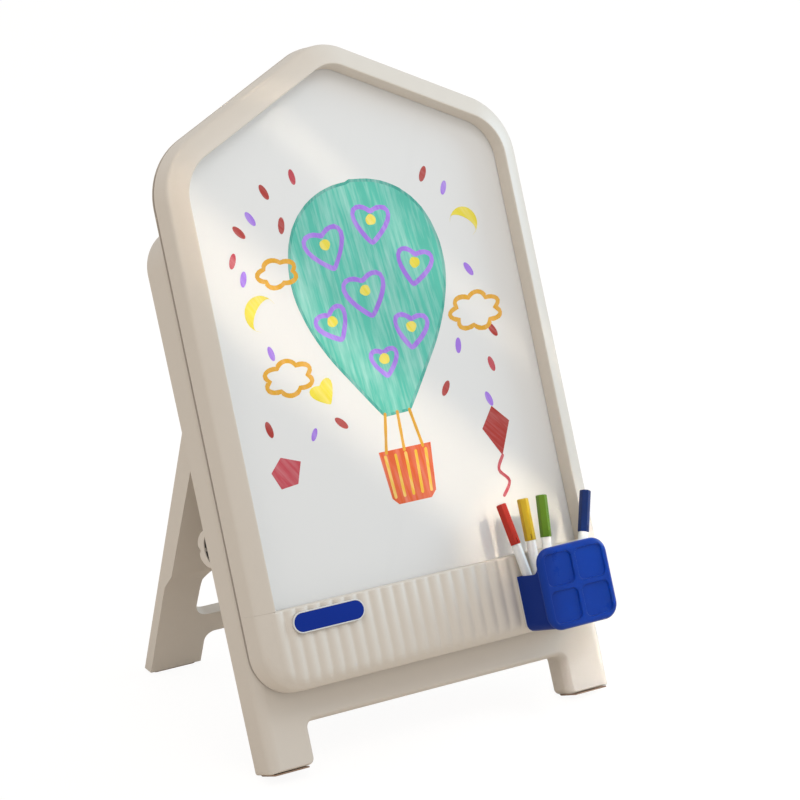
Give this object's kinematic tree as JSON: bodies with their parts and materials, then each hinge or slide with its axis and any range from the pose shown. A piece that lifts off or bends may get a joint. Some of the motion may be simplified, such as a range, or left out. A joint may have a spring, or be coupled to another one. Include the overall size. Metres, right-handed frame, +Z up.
{
  "type": "magnetic drawing board",
  "caption": "House-shaped magnetic drawing board on a folding A-frame stand, with a fluted apron, a window-like pen box and capped markers.",
  "frame": {"origin": "on the floor, under the centre of the box round the whole object", "axes": "+X to the right seen from the front, -Y to the front, +Z up"},
  "size_m": [0.4266, 0.3678, 0.6895],
  "materials": {
    "beige_plastic": "satin moulded plastic",
    "honeycomb_card": "paper honeycomb board, hidden",
    "white_enamel_steel": "glossy white writing surface",
    "white_plastic": "glossy",
    "badge_blue": "glossy, bare",
    "steel": "plated",
    "brown_rubber": "matte",
    "blue_plastic": "satin moulded plastic",
    "cap_red": "glossy",
    "cap_yellow": "glossy",
    "cap_green": "glossy",
    "cap_blue": "glossy"
  },
  "bodies": {
    "stand": {"front_stand": "beige_plastic", "board_frame": "beige_plastic", "fluted_apron": "beige_plastic", "board_back": "beige_plastic", "board_core": "honeycomb_card", "whiteboard_sheet": "white_enamel_steel", "badge_rim": "white_plastic", "badge_face": "badge_blue", "board_screw_1": "steel", "board_screw_2": "steel", "board_screw_3": "steel", "board_screw_4": "steel", "board_screw_5": "steel", "board_screw_6": "steel", "hinge_pin_left": "steel", "hinge_pin_right": "steel", "knob_bolt": "steel", "foot_pad_front_left": "brown_rubber", "foot_pad_front_right": "brown_rubber"},
    "rear_leg": {"rear_leg": "beige_plastic", "foot_pad_rear_left": "brown_rubber", "foot_pad_rear_right": "brown_rubber"},
    "wing_knob": {"wing_knob": "beige_plastic"},
    "pen_box": {"pen_box_tray": "blue_plastic", "pen_box_front": "blue_plastic", "pen_box_pad": "white_plastic", "box_magnet_left": "steel", "box_magnet_right": "steel"},
    "marker_red": {"marker_red_barrel": "white_plastic", "marker_red_plug": "white_plastic", "marker_red_nib": "cap_red"},
    "cap_red": {"marker_red_cap": "cap_red"},
    "marker_yellow": {"marker_yellow_barrel": "white_plastic", "marker_yellow_plug": "white_plastic", "marker_yellow_nib": "cap_yellow"},
    "cap_yellow": {"marker_yellow_cap": "cap_yellow"},
    "marker_green": {"marker_green_barrel": "white_plastic", "marker_green_plug": "white_plastic", "marker_green_nib": "cap_green"},
    "cap_green": {"marker_green_cap": "cap_green"},
    "marker_blue": {"marker_blue_barrel": "white_plastic", "marker_blue_plug": "white_plastic", "marker_blue_nib": "cap_blue"},
    "cap_blue": {"marker_blue_cap": "cap_blue"}
  },
  "joints": [
    {"name": "leg_hinge", "type": "hinge", "parent": "stand", "child": "rear_leg", "pos_m": [0, 0.06517, 0.34885], "axis": [1, 0, 0], "range_deg": [-40, 0]},
    {"name": "wing_knob_turn", "type": "hinge", "parent": "stand", "child": "wing_knob", "pos_m": [-0.205, 0.00775, 0.21348], "axis": [0, -0.91, 0.4147], "range_deg": [-18, 18]},
    {"name": "pen_box_pull", "type": "slide", "parent": "stand", "child": "pen_box", "axis": [0, -0.91, 0.4147], "range_m": [0, 0.06]},
    {"name": "marker_red_lift", "type": "slide", "parent": "pen_box", "child": "marker_red", "axis": [-0.0949, 0.5378, 0.8377], "range_m": [0, 0.1]},
    {"name": "marker_yellow_lift", "type": "slide", "parent": "pen_box", "child": "marker_yellow", "axis": [0.0279, 0.4351, 0.9], "range_m": [0, 0.1]},
    {"name": "marker_green_lift", "type": "slide", "parent": "pen_box", "child": "marker_green", "axis": [0.1166, 0.4291, 0.8957], "range_m": [0, 0.1]},
    {"name": "marker_blue_lift", "type": "slide", "parent": "pen_box", "child": "marker_blue", "axis": [0.3204, 0.4271, 0.8455], "range_m": [0, 0.1]},
    {"name": "cap_red_pull", "type": "slide", "parent": "marker_red", "child": "cap_red", "axis": [-0.0949, 0.5378, 0.8377], "range_m": [0, 0.045]},
    {"name": "cap_yellow_pull", "type": "slide", "parent": "marker_yellow", "child": "cap_yellow", "axis": [0.0279, 0.4351, 0.9], "range_m": [0, 0.045]},
    {"name": "cap_green_pull", "type": "slide", "parent": "marker_green", "child": "cap_green", "axis": [0.1166, 0.4291, 0.8957], "range_m": [0, 0.045]},
    {"name": "cap_blue_pull", "type": "slide", "parent": "marker_blue", "child": "cap_blue", "axis": [0.3204, 0.4271, 0.8455], "range_m": [0, 0.045]}
  ]
}
